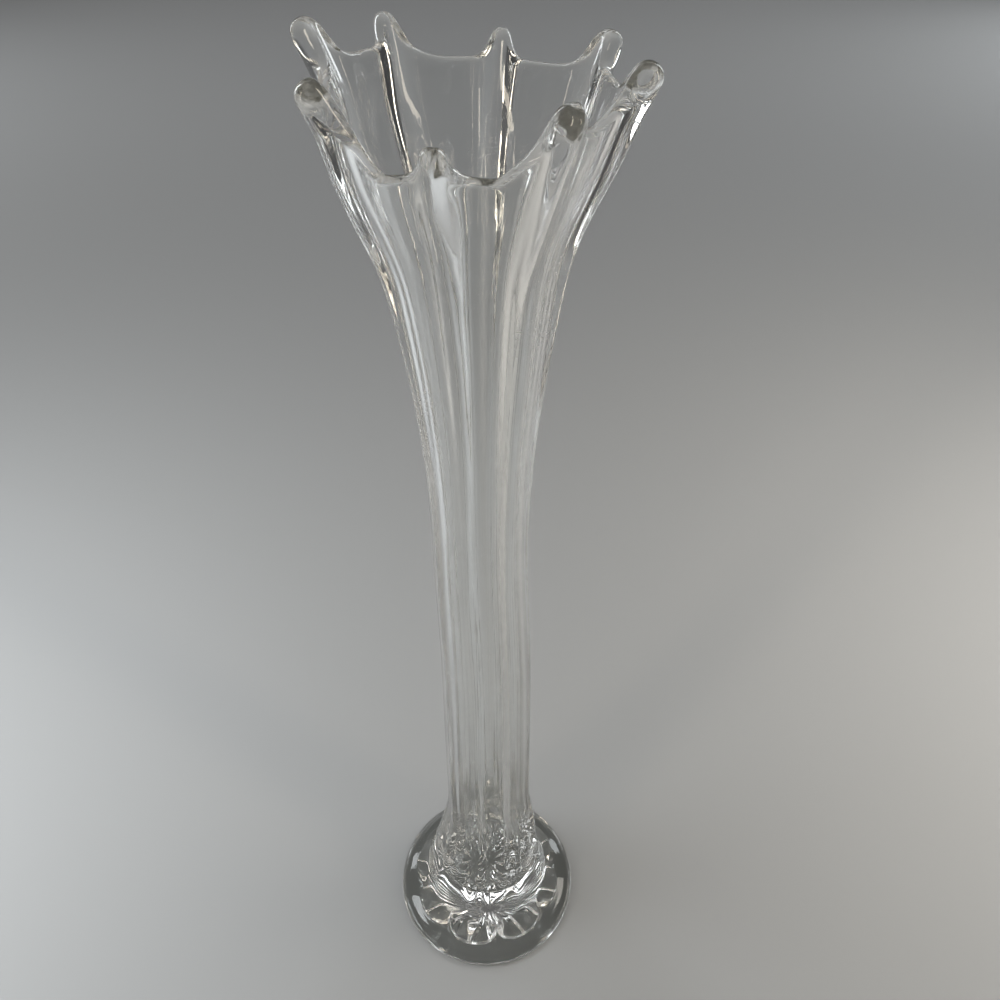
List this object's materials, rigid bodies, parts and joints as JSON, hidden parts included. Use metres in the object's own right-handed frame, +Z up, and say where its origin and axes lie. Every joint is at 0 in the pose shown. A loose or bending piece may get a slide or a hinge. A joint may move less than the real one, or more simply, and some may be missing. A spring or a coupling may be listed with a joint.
{
  "type": "swung glass vase",
  "caption": "Tall clear glass vase with a round foot, a lobed base, a ribbed column and a flared mouth whose ribs run out into rounded fingers.",
  "frame": {"origin": "middle of the foot, on the surface that the vase stands on", "axes": "+Z up along the vase, -Y towards the viewer of the reference picture, +X to the viewer's right"},
  "size_m": [0.1, 0.1, 0.4678],
  "materials": {
    "clear_glass": "fire-polished clear glass"
  },
  "bodies": {
    "root": {"foot": "clear_glass", "base": "clear_glass", "column": "clear_glass", "bell": "clear_glass", "finger_1": "clear_glass", "finger_2": "clear_glass", "finger_3": "clear_glass", "finger_4": "clear_glass", "finger_5": "clear_glass", "finger_6": "clear_glass", "finger_7": "clear_glass", "finger_8": "clear_glass"}
  },
  "joints": []
}
